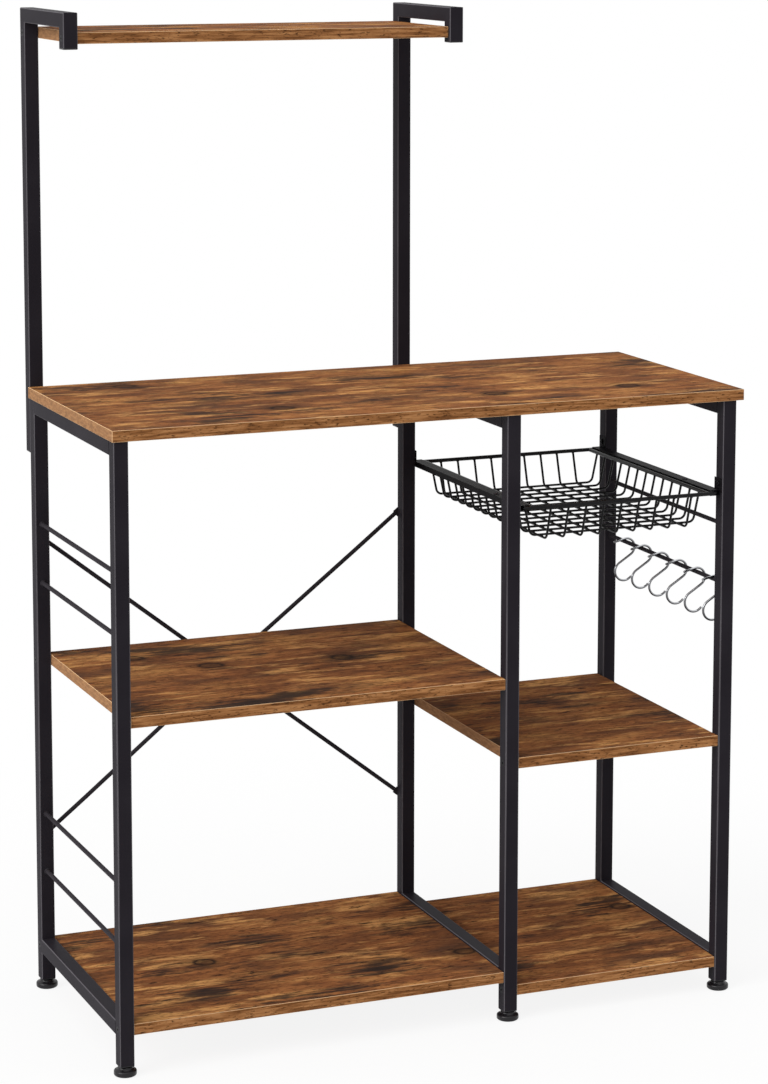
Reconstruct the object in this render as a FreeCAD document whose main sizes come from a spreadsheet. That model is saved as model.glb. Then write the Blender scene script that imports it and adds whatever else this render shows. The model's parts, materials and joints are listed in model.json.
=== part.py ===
import FreeCAD, Part
import math
import os
import Sketcher
from FreeCAD import Placement, Rotation, Vector

# Bakers rack: three welded steel frames joined by boards, a hutch bolted on behind,
# a wire basket on two channel rails and six S-hooks on a rod.
# Millimetres. X runs left to right, Y front to back, Z up; the origin is on the floor
# under the middle of the whole rack, feet and hutch included.

doc = FreeCAD.newDocument("BakersRack")
sheet = doc.addObject("Spreadsheet::Sheet", "Sizes")

drivingSizes = [
    # boards
    ("board_width", 900, "main board, left to right"),
    ("board_depth", 383, "main board, front to back"),
    ("board_left", -448.5, "left edge of the main board"),
    ("board_front", -200, "front edge of the main board"),
    ("board_top", 850, "working height"),
    ("board_thick", 15, "every board is this thick"),
    ("board_arris", 0.8, "eased edges of the boards"),
    ("shelf_inset", 1.5, "a shelf stands back from the post faces"),
    ("left_shelf_top", 477.5, "middle shelf, left bay"),
    ("right_shelf_top", 367, "middle shelf, right bay"),
    ("top_shelf_top", 1340, "shelf of the hutch"),
    ("top_shelf_front", 4, "front edge of that shelf"),
    # square tube and the frames
    ("tube", 20, "square tube, outside"),
    ("tube_wall", 1.2, "wall of the tube"),
    ("tube_round", 2, "outer corner radius of the tube"),
    ("left_x", -436.5, "centre plane of the left frame"),
    ("middle_x", 108.5, "centre plane of the middle frame"),
    ("right_x", 431.5, "centre plane of the right frame"),
    ("front_y", -188, "centre of the front posts"),
    ("rear_y", 173, "centre of the rear posts"),
    ("post_foot", 14.5, "lower end of the post tubes"),
    ("low_rail", 62, "centre height of the left and middle bottom rails"),
    ("low_rail_right", 42, "centre height of the right bottom rail"),
    # rods of the side frames
    ("rod_dia", 6, "side rods, hook rod and braces"),
    ("rod_pitch", 82.2, "between the rods of a pair"),
    ("rod_high", 661.4, "upper rod of the upper pair"),
    ("rod_low", 251.6, "upper rod of the lower pair"),
    ("hook_rod_z", 579.3, "rod that carries the hooks"),
    # hutch
    ("hutch_top", 1366, "overall height"),
    ("hutch_foot", 758.5, "lower end of the hutch posts, cap included"),
    ("hutch_reach", 204, "depth of the hutch brackets, outside"),
    ("drop_length", 48, "front upright of a bracket, outside"),
    ("cap_flange", 2, "visible part of a tube plug"),
    ("cap_plug", 20, "part of a plug inside the tube"),
    ("mitre_block", 80, "block that cuts a mitre"),
    # cross brace
    ("brace_high", 642.7, "height of the upper screws"),
    ("brace_low", 213.1, "height of the lower screws"),
    ("brace_bow", 7, "one rod flexes back this far to pass the other"),
    ("brace_bend", 2000, "radius of the bends of that rod"),
    ("brace_tab", 2.4, "thickness of the flattened ends"),
    ("brace_tab_width", 10, "width of the flattened ends"),
    ("brace_tab_reach", 16, "flattened length beyond the screw"),
    # basket
    ("basket_y", -8.5, "middle of the basket, front to back"),
    ("rim_z", 707.4, "centre of the rim wire"),
    ("rim_dia", 5.4, "rim and side wires"),
    ("rim_gap", 5.5, "rim wire centre to the post face"),
    ("rim_half_depth", 186, "rim wire centre, from the middle"),
    ("rim_bend", 8, "corner radius of the rim wire"),
    ("side_wire_gap", 19.5, "side wire centre to the post face"),
    ("mesh_dia", 3.2, "mesh wires"),
    ("mesh_pitch", 26.4, "between mesh wires"),
    ("mesh_bend", 9, "bend between floor and wall"),
    ("floor_low", 661, "floor level of the wires that run front to back"),
    ("layer_step", 3.25, "the crosswise wires lie on those"),
    ("floor_inset_side", 9, "floor stands in from the side wires"),
    ("floor_inset_end", 14, "floor stands in from the rim, front and back"),
    ("weld_gap", 0.3, "mesh wires stop this far under the rim"),
    # rails of the basket
    ("rail_low", 703.5, "underside of the rails"),
    ("rail_height", 7.8, "outside height of the channel"),
    ("rail_flange", 15, "width of the channel"),
    ("rail_sheet", 0.8, "sheet thickness"),
    ("rail_half", 184, "half length of the channel"),
    ("rail_tab_top", 23.8, "screw tab above the underside"),
    ("rail_tab_width", 20, "width of a screw tab"),
    ("rail_tab_out", 188.5, "outer end of a tab, from the rail's middle"),
    ("rail_screw", 16, "screw above the underside"),
    # S-hooks, about the rod's axis
    ("hook_wire", 3.3, "wire of the hooks"),
    ("hook_play", 0.1, "between hook and rod"),
    ("hook_high_bend", 13.1, "radius of the upper bow, at the wire's centre"),
    ("hook_low_bend", 14.5, "radius of the lower bow, at the wire's centre"),
    ("hook_high_x", 1.5, "centre of the upper bow"),
    ("hook_low_x", -2.1, "centre of the lower bow"),
    ("hook_low_z", -43, "centre of the lower bow"),
    ("hook_tail", 18.6, "straight tail of the upper bow"),
    ("hook_tail_slope", 13, "degrees below level"),
    ("hook_tip_slope", 35, "the lower bow stops this far below level"),
    ("hook_pitch", 54.6, "between hooks"),
    ("hook_first", -160, "foremost hook"),
    # levelling feet
    ("foot_dia", 30, "pad"),
    ("foot_thick", 7, "rim of the pad"),
    ("foot_neck_dia", 19, "neck over the pad"),
    ("foot_neck_top", 12.2, "top of the neck"),
    ("foot_round", 2.5, "rounding of the pad's rim"),
    ("stud_dia", 8, "stud of a foot"),
    ("stud_top", 33, "upper end of the stud"),
    ("stud_play", 0.08, "radial, in the threaded plug"),
    # bolts, inserts and screws
    ("bolt_dia", 5, "socket bolts with sunk heads"),
    ("bolt_length", 32, "under and with the head"),
    ("bolt_head", 9.2, "head diameter"),
    ("bolt_socket", 3, "hexagon socket across flats"),
    ("bolt_play", 0.15, "radial clearance of a hole"),
    ("insert_dia", 7, "threaded inserts in the boards"),
    ("insert_length", 12.5, "length of an insert"),
    ("screw_dia", 4, "pan-head screws"),
    ("screw_length", 9, "under the head"),
    ("screw_head", 7.4, "pan head"),
    ("screw_head_height", 2.2, "pan head"),
    ("board_bolt_in", 70, "board bolts stand in from the posts"),
    ("hutch_bolt_low", 778, "lower hutch bolt"),
    ("hutch_bolt_high", 806, "upper hutch bolt"),
]
for row, (alias, amount, meaning) in enumerate(drivingSizes, start=1):
    sheet.set(f"A{row}", alias)
    sheet.set(f"B{row}", str(amount))
    sheet.set(f"C{row}", meaning)
    sheet.setAlias(f"B{row}", alias)
doc.recompute()

subParts = []


def value(expression):
    """Millimetres of an expression on the sheet."""
    return float(sheet.evalExpression(expression.replace("Sizes.", "")))


def keep(piece, label):
    piece.Label = label
    subParts.append(piece)
    return piece


def place(piece, x, y, z, turn=Rotation()):
    piece.Placement = Placement(Vector(value(x), value(y), value(z)), turn)
    for axis, expression in zip("xyz", (x, y, z)):
        piece.setExpression(f"Placement.Base.{axis}", expression)
    return piece


def newBody(name):
    return doc.addObject("PartDesign::Body", name)


def newSketch(body, role):
    sketch = body.newObject("Sketcher::SketchObject", "Sketch")
    plane = [feature for feature in body.Origin.OriginFeatures if feature.Role == role]
    sketch.AttachmentSupport = (plane[0], [""])
    sketch.MapMode = "FlatFace"
    return sketch


def bindConstraint(sketch, constraint, expression):
    index = sketch.addConstraint(constraint)
    sketch.setExpression(f"Constraints[{index}]", expression)


def pinPoint(sketch, geometry, end, x, y):
    """Holds one point of a sketch at x, y of the sheet."""
    for kind, axis, expression in (("DistanceX", -2, x), ("DistanceY", -1, y)):
        if expression == "0":
            sketch.addConstraint(Sketcher.Constraint("PointOnObject", geometry, end, axis))
        else:
            span = Sketcher.Constraint(kind, -1, 1, geometry, end, value(expression))
            bindConstraint(sketch, span, expression)


def drawPolygon(sketch, corners):
    first = sketch.GeometryCount
    count = len(corners)
    spots = [Vector(value(x), value(y), 0) for x, y in corners]
    for i in range(count):
        sketch.addGeometry(Part.LineSegment(spots[i], spots[(i + 1) % count]), False)
    for i in range(count):
        following = first + (i + 1) % count
        sketch.addConstraint(Sketcher.Constraint("Coincident", first + i, 2, following, 1))
        pinPoint(sketch, first + i, 1, *corners[i])


def drawRectangle(sketch, halfWidth, halfHeight):
    drawPolygon(
        sketch,
        [
            (f"-({halfWidth})", f"-({halfHeight})"),
            (halfWidth, f"-({halfHeight})"),
            (halfWidth, halfHeight),
            (f"-({halfWidth})", halfHeight),
        ],
    )


def drawCircle(sketch, x, y, diameter):
    centre = Vector(value(x), value(y), 0)
    index = sketch.addGeometry(Part.Circle(centre, Vector(0, 0, 1), value(diameter) / 2), False)
    bindConstraint(sketch, Sketcher.Constraint("Diameter", index, value(diameter)), diameter)
    pinPoint(sketch, index, 3, x, y)


def drawBentLine(sketch, corners, bend, closed=False):
    """Straight runs between the corners, joined by tangent arcs of one radius."""
    spots = [Vector(value(x), value(y), 0) for x, y in corners]
    count = len(spots)
    runs = count if closed else count - 1
    bent = range(count) if closed else range(1, count - 1)
    cut = {}
    for i in bent:
        back = (spots[i - 1] - spots[i]).normalize()
        ahead = (spots[(i + 1) % count] - spots[i]).normalize()
        reach = value(bend) / math.tan(back.getAngle(ahead) / 2)
        cut[i] = (spots[i] + back * reach, spots[i] + ahead * reach)
    lines = []
    for i in range(runs):
        start = cut[i][1] if i in cut else spots[i]
        end = cut[(i + 1) % count][0] if (i + 1) % count in cut else spots[(i + 1) % count]
        lines.append(sketch.addGeometry(Part.LineSegment(start, end), False))
    for i in bent:
        before, after = lines[i - 1], lines[i]
        bisector = (cut[i][0] + cut[i][1]) / 2 - spots[i]
        half = (cut[i][0] - spots[i]).getAngle(bisector)
        centre = spots[i] + bisector.normalize() * (value(bend) / math.sin(half))
        middle = centre + (spots[i] - centre).normalize() * value(bend)
        arc = sketch.addGeometry(Part.Arc(cut[i][0], middle, cut[i][1]), False)
        start, end = (1, 2)
        if sketch.getPoint(arc, 1).distanceToPoint(cut[i][0]) > 0.001:
            start, end = (2, 1)
        sketch.addConstraint(Sketcher.Constraint("Tangent", before, 2, arc, start))
        sketch.addConstraint(Sketcher.Constraint("Tangent", after, 1, arc, end))
        bindConstraint(sketch, Sketcher.Constraint("Radius", arc, value(bend)), bend)
        corner = sketch.addGeometry(Part.Point(spots[i]), True)
        pinPoint(sketch, corner, 1, *corners[i])
        for line in (before, after):
            sketch.addConstraint(Sketcher.Constraint("PointOnObject", corner, 1, line))
    if not closed:
        pinPoint(sketch, lines[0], 1, *corners[0])
        pinPoint(sketch, lines[-1], 2, *corners[-1])


def addPad(body, sketch, length, reverse=False):
    pad = body.newObject("PartDesign::Pad", "Pad")
    pad.Profile = sketch
    pad.Reversed = reverse
    pad.setExpression("Length", length)
    return pad


def addPipe(body, spine, diameter):
    """A round wire along the sketch that is its spine."""
    doc.recompute()
    edges = [f"Edge{i + 1}" for i in range(len(spine.Shape.Edges))]
    profile = body.newObject("Sketcher::SketchObject", "Profile")
    profile.AttachmentSupport = (spine, ["Edge1"])
    profile.MapMode = "NormalToEdge"
    drawCircle(profile, "0", "0", diameter)
    pipe = body.newObject("PartDesign::AdditivePipe", "Pipe")
    pipe.Profile = profile
    pipe.Spine = (spine, edges)
    return pipe


def addFillet(body, radius, wanted):
    """Rounds the edges of the body's last feature that the test picks."""
    doc.recompute()
    last = body.Tip
    names = [f"Edge{i}" for i, edge in enumerate(last.Shape.Edges, start=1) if wanted(edge)]
    fillet = body.newObject("PartDesign::Fillet", "Fillet")
    fillet.Base = (last, names)
    fillet.setExpression("Radius", radius)
    return fillet


def revolve(body, corners):
    """Turns a closed outline, in radius and height, about the body's Z axis."""
    sketch = newSketch(body, "XZ_Plane")
    drawPolygon(sketch, corners)
    revolution = body.newObject("PartDesign::Revolution", "Revolution")
    revolution.Profile = sketch
    revolution.ReferenceAxis = (sketch, ["V_Axis"])
    revolution.Angle = 360
    return body


def copiesOf(template, spots):
    """One link to the template for each spot: x, y, z and the way its -Z points."""
    links = []
    for x, y, z, towards in spots:
        link = doc.addObject("App::Link", f"{template.Name}At")
        link.LinkedObject = template
        place(link, x, y, z, Rotation(Vector(0, 0, -1), towards))
        links.append(link)
    return links


def group(label, template, spots):
    compound = doc.addObject("Part::Compound", "Group")
    compound.Links = copiesOf(template, spots)
    return keep(compound, label)


def cutFrom(label, blank, tools):
    if not tools:
        return keep(blank, label)
    cutters = doc.addObject("Part::Compound", "Cutters")
    cutters.Links = tools
    cut = doc.addObject("Part::Cut", "Cut")
    cut.Base = blank
    cut.Tool = cutters
    return keep(cut, label)


right, left = Vector(1, 0, 0), Vector(-1, 0, 0)
back, front = Vector(0, 1, 0), Vector(0, -1, 0)
up, down = Vector(0, 0, 1), Vector(0, 0, -1)
alongY = Rotation(Vector(1, 0, 0), -90)


# ---- Fasteners, made once and repeated as links ------------------------------------


def socketBolt():
    """Sunk head level with Z = 0, shank down, hexagon socket in the head."""
    body = newBody("SocketBolt")
    shank = "Sizes.bolt_dia / 2"
    head = "Sizes.bolt_head / 2"
    taper = "-(Sizes.bolt_head - Sizes.bolt_dia) / 2"
    revolve(
        body,
        [
            ("0", "0"),
            (head, "0"),
            (shank, taper),
            (shank, "-(Sizes.bolt_length - Sizes.bolt_dia / 8)"),
            ("Sizes.bolt_dia * 3 / 8", "-Sizes.bolt_length"),
            ("0", "-Sizes.bolt_length"),
        ],
    )
    socket = doc.addObject("Part::Prism", "Socket")
    socket.Polygon = 6
    socket.setExpression("Circumradius", "Sizes.bolt_socket / sqrt(3)")
    socket.setExpression("Height", "Sizes.bolt_socket")
    place(socket, "0", "0", "-Sizes.bolt_socket * 0.8")
    bolt = doc.addObject("Part::Cut", "Bolt")
    bolt.Base = body
    bolt.Tool = socket
    return bolt


def boltHole():
    """What a socket bolt needs in a tube: a sunk mouth and clearance through both walls."""
    body = newBody("BoltHole")
    hole = "(Sizes.bolt_dia / 2 + Sizes.bolt_play)"
    mouth = "(Sizes.bolt_head / 2 + Sizes.bolt_play)"
    taper = "-(Sizes.bolt_head - Sizes.bolt_dia) / 2"
    return revolve(
        body,
        [
            ("0", "1"),
            (mouth, "1"),
            (mouth, "0"),
            (hole, taper),
            (hole, "-(Sizes.tube + 1)"),
            ("0", "-(Sizes.tube + 1)"),
        ],
    )


def roundHole(name, diameter, depth):
    radius = f"({diameter}) / 2"
    bottom = f"-({depth})"
    return revolve(newBody(name), [("0", "0"), (radius, "0"), (radius, bottom), ("0", bottom)])


def wallHole():
    """Clearance of a pan-head screw through one wall or tab, with 1 mm to spare outside."""
    body = newBody("WallHole")
    hole = "(Sizes.screw_dia / 2 + Sizes.bolt_play)"
    depth = "-(Sizes.tube_wall * 3)"
    return revolve(body, [("0", "1"), (hole, "1"), (hole, depth), ("0", depth)])


def threadedInsert():
    body = newBody("ThreadedInsert")
    bore = "(Sizes.bolt_dia / 2 + Sizes.bolt_play / 3)"
    outside = "Sizes.insert_dia / 2"
    bottom = "-Sizes.insert_length"
    return revolve(body, [(bore, "0"), (outside, "0"), (outside, bottom), (bore, bottom)])


def panScrew():
    """Bearing face of the head at Z = 0, shank down, hexagon recess on top."""
    body = newBody("PanScrew")
    shank = "Sizes.screw_dia / 2"
    head = "Sizes.screw_head / 2"
    revolve(
        body,
        [
            ("0", "Sizes.screw_head_height"),
            ("Sizes.screw_head * 0.28", "Sizes.screw_head_height"),
            (head, "Sizes.screw_head_height * 0.45"),
            (head, "0"),
            (shank, "0"),
            (shank, "-(Sizes.screw_length - 1)"),
            ("Sizes.screw_dia / 4", "-Sizes.screw_length"),
            ("0", "-Sizes.screw_length"),
        ],
    )
    recess = doc.addObject("Part::Prism", "Recess")
    recess.Polygon = 6
    recess.setExpression("Circumradius", "Sizes.screw_dia * 0.3")
    recess.setExpression("Height", "Sizes.screw_head_height")
    place(recess, "0", "0", "Sizes.screw_head_height * 0.4")
    screw = doc.addObject("Part::Cut", "Screw")
    screw.Base = body
    screw.Tool = recess
    return screw


bolt = socketBolt()
screw = panScrew()
insert = threadedInsert()
tubeHole = boltHole()
screwHole = wallHole()
insertHole = roundHole("InsertHole", "Sizes.insert_dia", "Sizes.insert_length")


# ---- Where the boards are bolted ----------------------------------------------------

frames = {"left": "Sizes.left_x", "middle": "Sizes.middle_x", "right": "Sizes.right_x"}
rows = {"front": "Sizes.front_y", "rear": "Sizes.rear_y"}
hutchY = "(Sizes.rear_y + Sizes.tube)"
dropY = "(Sizes.rear_y + Sizes.tube * 3 / 2 - Sizes.hutch_reach + Sizes.tube / 2)"
topShelfZ = "(Sizes.top_shelf_top - Sizes.board_thick / 2)"

# shelf: frames at its two ends and the height of its mid-plane
shelves = {
    "left_middle_shelf": ("left", "middle", "(Sizes.left_shelf_top - Sizes.board_thick / 2)"),
    "right_middle_shelf": ("middle", "right", "(Sizes.right_shelf_top - Sizes.board_thick / 2)"),
    "left_bottom_shelf": ("left", "middle", "Sizes.low_rail"),
    "right_bottom_shelf": ("middle", "right", "Sizes.low_rail_right"),
}


def endJoints(leftX, rightX, ys, z):
    """Bolt spots and insert spots for a board held between tubes at its two ends."""
    bolts, inserts = [], []
    for y in ys:
        bolts.append((f"{leftX} - Sizes.tube / 2", y, z, right))
        bolts.append((f"{rightX} + Sizes.tube / 2", y, z, left))
        inserts.append((f"{leftX} + Sizes.tube / 2", y, z, right))
        inserts.append((f"{rightX} - Sizes.tube / 2", y, z, left))
    return bolts, inserts


shelfBolts, insertSpots = [], []
postBolts = {}
for label, (leftFrame, rightFrame, z) in shelves.items():
    for row, y in rows.items():
        bolts, inserts = endJoints(frames[leftFrame], frames[rightFrame], [y], z)
        shelfBolts += bolts
        insertSpots += inserts
        postBolts.setdefault(f"{leftFrame}_{row}_post", []).append(bolts[0])
        postBolts.setdefault(f"{rightFrame}_{row}_post", []).append(bolts[1])

boardBolts = []
for x in frames.values():
    for y in ("(Sizes.front_y + Sizes.board_bolt_in)", "(Sizes.rear_y - Sizes.board_bolt_in)"):
        boardBolts.append((x, y, "Sizes.board_top - Sizes.board_thick - Sizes.tube", up))
boardInserts = [(x, y, "Sizes.board_top - Sizes.board_thick", up) for x, y, z, way in boardBolts]

hutchFrames = {"left": frames["left"], "right": frames["middle"]}
hutchBack = f"({hutchY} + Sizes.tube / 2)"
hutchBolts = {
    side: [(x, hutchBack, z, front) for z in ("Sizes.hutch_bolt_low", "Sizes.hutch_bolt_high")]
    for side, x in hutchFrames.items()
}
topBolts, topInserts = endJoints(frames["left"], frames["middle"], [dropY, hutchY], topShelfZ)

rearFace = "(Sizes.rear_y + Sizes.tube / 2)"
braceEnds = [
    ("left", "Sizes.brace_high"),
    ("left", "Sizes.brace_low"),
    ("middle", "Sizes.brace_high"),
    ("middle", "Sizes.brace_low"),
]

railY = "(Sizes.front_y / 2 + Sizes.rear_y / 2)"
railScrewZ = "(Sizes.rail_low + Sizes.rail_screw)"
middleFace = "(Sizes.middle_x + Sizes.tube / 2)"
rightFace = "(Sizes.right_x - Sizes.tube / 2)"


# ---- Square tube --------------------------------------------------------------------


def squareTube(name, length):
    """Hollow tube from Z = 0 up, its outer corners rounded."""
    body = newBody(name)
    sketch = newSketch(body, "XY_Plane")
    outside = "Sizes.tube / 2"
    inside = "Sizes.tube / 2 - Sizes.tube_wall"
    drawRectangle(sketch, outside, outside)
    drawRectangle(sketch, inside, inside)
    addPad(body, sketch, length)
    corner = value("Sizes.tube") / 2

    def outerLongEdge(edge):
        middle = edge.CenterOfMass
        return min(abs(middle.x), abs(middle.y)) > corner - 0.01

    addFillet(body, "Sizes.tube_round", outerLongEdge)
    return body


def post(frame, row):
    label = f"{frame}_{row}_post"
    body = squareTube("Post", "Sizes.board_top - Sizes.board_thick - Sizes.post_foot")
    place(body, frames[frame], rows[row], "Sizes.post_foot")
    holes = copiesOf(tubeHole, postBolts[label])
    if row == "rear":
        screwed = [(frames[side], rearFace, z, front) for side, z in braceEnds if side == frame]
        holes += copiesOf(screwHole, screwed)
        if frame != "right":
            bolted = [(frames[frame], rearFace, z, front) for x, y, z, way in hutchBolts["left"]]
            holes += copiesOf(tappedHole, bolted)
    if frame != "left":
        way, face = (left, middleFace) if frame == "middle" else (right, rightFace)
        holes += copiesOf(screwHole, [(face, rows[row], railScrewZ, way)])
    return cutFrom(label, body, holes)


tappedHole = roundHole("TappedHole", "Sizes.bolt_dia + Sizes.bolt_play", "Sizes.tube_wall * 2")
for frame in frames:
    for row in rows:
        post(frame, row)

sideRun = "Sizes.rear_y - Sizes.front_y - Sizes.tube"
for frame, x in frames.items():
    topRail = squareTube("TopRail", sideRun)
    railZ = "Sizes.board_top - Sizes.board_thick - Sizes.tube / 2"
    place(topRail, x, "Sizes.front_y + Sizes.tube / 2", railZ, alongY)
    spots = [spot for spot in boardBolts if spot[0] == x]
    cutFrom(f"{frame}_top_rail", topRail, copiesOf(tubeHole, spots))
    lowRail = squareTube("LowRail", sideRun)
    lowZ = "Sizes.low_rail_right" if frame == "right" else "Sizes.low_rail"
    place(lowRail, x, "Sizes.front_y + Sizes.tube / 2", lowZ, alongY)
    keep(lowRail, f"{frame}_bottom_rail")


# ---- Rods between the posts of the outer frames -------------------------------------


def sideRod(label, x, z):
    rod = doc.addObject("Part::Cylinder", "Rod")
    rod.setExpression("Radius", "Sizes.rod_dia / 2")
    rod.setExpression("Height", sideRun)
    place(rod, x, "Sizes.front_y + Sizes.tube / 2", z, alongY)
    return keep(rod, label)


sideRod("left_side_rod_1", frames["left"], "Sizes.rod_high")
sideRod("left_side_rod_2", frames["left"], "Sizes.rod_high - Sizes.rod_pitch")
sideRod("left_side_rod_3", frames["left"], "Sizes.rod_low")
sideRod("left_side_rod_4", frames["left"], "Sizes.rod_low - Sizes.rod_pitch")
sideRod("right_side_rod", frames["right"], "Sizes.rod_high")
sideRod("hook_rod", frames["right"], "Sizes.hook_rod_z")


# ---- Hutch --------------------------------------------------------------------------

hutchFront = f"({hutchBack} - Sizes.hutch_reach)"


def mitreTool(x, y, z, slope, above):
    """A block whose one face is the mitre plane through y, z; it takes off one side of it."""
    tool = doc.addObject("Part::Box", "Mitre")
    for side in ("Length", "Width", "Height"):
        tool.setExpression(side, "Sizes.mitre_block")
    turn = Rotation(Vector(1, 0, 0), slope)
    span = value("Sizes.mitre_block")
    corner = turn.multVec(Vector(-span / 2, -span / 2, 0 if above else -span))
    spot = Vector(value(x), value(y), value(z)) + corner
    tool.Placement = Placement(spot, turn)
    return tool


def hutchSide(side, x):
    rearMitre = (x, hutchBack, "Sizes.hutch_top", 45)
    frontMitre = (x, hutchFront, "Sizes.hutch_top", -45)
    shelfHoles = topBolts[0::2] if side == "left" else topBolts[1::2]
    dropHole, postHole = shelfHoles

    upright = squareTube("HutchPost", "Sizes.hutch_top - Sizes.hutch_foot - Sizes.cap_flange")
    place(upright, x, hutchY, "Sizes.hutch_foot + Sizes.cap_flange")
    holes = copiesOf(tubeHole, hutchBolts[side] + [postHole])
    cutFrom(f"{side}_hutch_post", upright, holes + [mitreTool(*rearMitre, True)])

    arm = squareTube("HutchArm", "Sizes.hutch_reach")
    place(arm, x, hutchFront, "Sizes.hutch_top - Sizes.tube / 2", alongY)
    ends = [mitreTool(*rearMitre, False), mitreTool(*frontMitre, False)]
    cutFrom(f"{side}_hutch_arm", arm, ends)

    drop = squareTube("HutchDrop", "Sizes.drop_length - Sizes.cap_flange")
    lowEnd = "Sizes.hutch_top - Sizes.drop_length + Sizes.cap_flange"
    place(drop, x, f"{hutchFront} + Sizes.tube / 2", lowEnd)
    ends = copiesOf(tubeHole, [dropHole]) + [mitreTool(*frontMitre, True)]
    cutFrom(f"{side}_hutch_drop", drop, ends)


for side, x in hutchFrames.items():
    hutchSide(side, x)


def tubePlug(name, plugLength, bore=None):
    """Plastic plug, flange from Z = 0 down and the plug itself above, in a tube's lower end."""
    body = newBody(name)
    sketch = newSketch(body, "XY_Plane")
    drawRectangle(sketch, "Sizes.tube / 2", "Sizes.tube / 2")
    addPad(body, sketch, "Sizes.cap_flange", reverse=True)
    corner = value("Sizes.tube") / 2
    addFillet(body, "Sizes.tube_round", lambda edge: edge.BoundBox.ZLength > 1)
    flangeBottom = -value("Sizes.cap_flange")
    addFillet(body, "Sizes.cap_flange * 0.6", lambda edge: edge.BoundBox.ZMax < flangeBottom + 0.01)
    plug = newSketch(body, "XY_Plane")
    inside = "Sizes.tube / 2 - Sizes.tube_wall"
    drawRectangle(plug, inside, inside)
    addPad(body, plug, plugLength)
    if bore is None:
        return body
    hole = roundHole("PlugBore", bore, f"{plugLength} + Sizes.cap_flange * 2")
    place(hole, "0", "0", f"{plugLength} + Sizes.cap_flange / 2")
    bored = doc.addObject("Part::Cut", "BoredPlug")
    bored.Base = body
    bored.Tool = hole
    return bored


endPlug = tubePlug("EndPlug", "Sizes.cap_plug * 0.35")
plugSpots = []
for x in hutchFrames.values():
    plugSpots.append((x, hutchY, "Sizes.hutch_foot + Sizes.cap_flange", down))
    lowEnd = "Sizes.hutch_top - Sizes.drop_length + Sizes.cap_flange"
    plugSpots.append((x, f"{hutchFront} + Sizes.tube / 2", lowEnd, down))
group("hutch_end_plugs", endPlug, plugSpots)


# ---- Boards -------------------------------------------------------------------------


def board(label, x, y, z, width, depth, inserts):
    """A board with eased edges; x, y, z is its lower left front corner."""
    body = newBody("Board")
    sketch = newSketch(body, "XY_Plane")
    drawPolygon(sketch, [("0", "0"), (width, "0"), (width, depth), ("0", depth)])
    addPad(body, sketch, "Sizes.board_thick")
    addFillet(body, "Sizes.board_arris", lambda edge: True)
    place(body, x, y, z)
    return cutFrom(label, body, copiesOf(insertHole, inserts))


board(
    "main_board",
    "Sizes.board_left",
    "Sizes.board_front",
    "Sizes.board_top - Sizes.board_thick",
    "Sizes.board_width",
    "Sizes.board_depth",
    boardInserts,
)

shelfFront = "Sizes.front_y - Sizes.tube / 2 + Sizes.shelf_inset"
shelfDepth = "Sizes.rear_y - Sizes.front_y + Sizes.tube - 2 * Sizes.shelf_inset"
for label, (leftFrame, rightFrame, z) in shelves.items():
    leftX, rightX = frames[leftFrame], frames[rightFrame]
    bolts, inserts = endJoints(leftX, rightX, rows.values(), z)
    corner = (f"{leftX} + Sizes.tube / 2", shelfFront, f"{z} - Sizes.board_thick / 2")
    board(label, *corner, f"{rightX} - {leftX} - Sizes.tube", shelfDepth, inserts)

board(
    "top_shelf",
    "Sizes.left_x + Sizes.tube / 2",
    "Sizes.top_shelf_front",
    "Sizes.top_shelf_top - Sizes.board_thick",
    "Sizes.middle_x - Sizes.left_x - Sizes.tube",
    f"{hutchBack} - Sizes.top_shelf_front",
    topInserts,
)

group("threaded_inserts", insert, insertSpots + boardInserts + topInserts)
group("shelf_bolts", bolt, shelfBolts + topBolts)
group("board_bolts", bolt, boardBolts)
group("hutch_bolts", bolt, hutchBolts["left"] + hutchBolts["right"])


# ---- Cross brace behind the left bay ------------------------------------------------


braceRun = "(Sizes.middle_x - Sizes.left_x)"
braceRise = "(Sizes.brace_high - Sizes.brace_low)"
braceLength = f"sqrt({braceRun} * {braceRun} + {braceRise} * {braceRise})"
braceInset = "(Sizes.brace_tab_reach * 0.6)"


def braceRod(label, startZ, endZ, bow):
    """Round rod with flattened, drilled ends, from the left rear post to the middle one."""
    body = newBody("Brace")
    spine = newSketch(body, "XY_Plane")
    path = [(braceInset, "0"), (f"{braceLength} - {braceInset}", "0")]
    if bow:
        path[1:1] = [
            (f"{braceLength} * 0.12", "0"),
            (f"{braceLength} / 2", bow),
            (f"{braceLength} * 0.88", "0"),
        ]
    drawBentLine(spine, path, "Sizes.brace_bend")
    addPipe(body, spine, "Sizes.rod_dia")
    halfWidth = "Sizes.brace_tab_width / 2"
    tabs = [
        (f"-{halfWidth} * 1.2", "Sizes.brace_tab_reach"),
        (f"{braceLength} - Sizes.brace_tab_reach", f"{braceLength} + {halfWidth} * 1.2"),
    ]
    for near, far in tabs:
        tab = newSketch(body, "XZ_Plane")
        low, high = f"-{halfWidth}", halfWidth
        drawPolygon(tab, [(near, low), (far, low), (far, high), (near, high)])
        tab.setExpression("AttachmentOffset.Base.z", "Sizes.rod_dia / 2")
        addPad(body, tab, "Sizes.brace_tab", reverse=True)
    slope = math.degrees(math.atan2(value(f"{endZ} - {startZ}"), value(braceRun)))
    turn = Rotation(Vector(0, 1, 0), -slope)
    place(body, "Sizes.left_x", f"{rearFace} + Sizes.rod_dia / 2", startZ, turn)
    tabBack = f"{rearFace} + Sizes.brace_tab"
    ends = [("Sizes.left_x", tabBack, startZ, front), ("Sizes.middle_x", tabBack, endZ, front)]
    cutFrom(label, body, copiesOf(screwHole, ends))
    return ends


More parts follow.
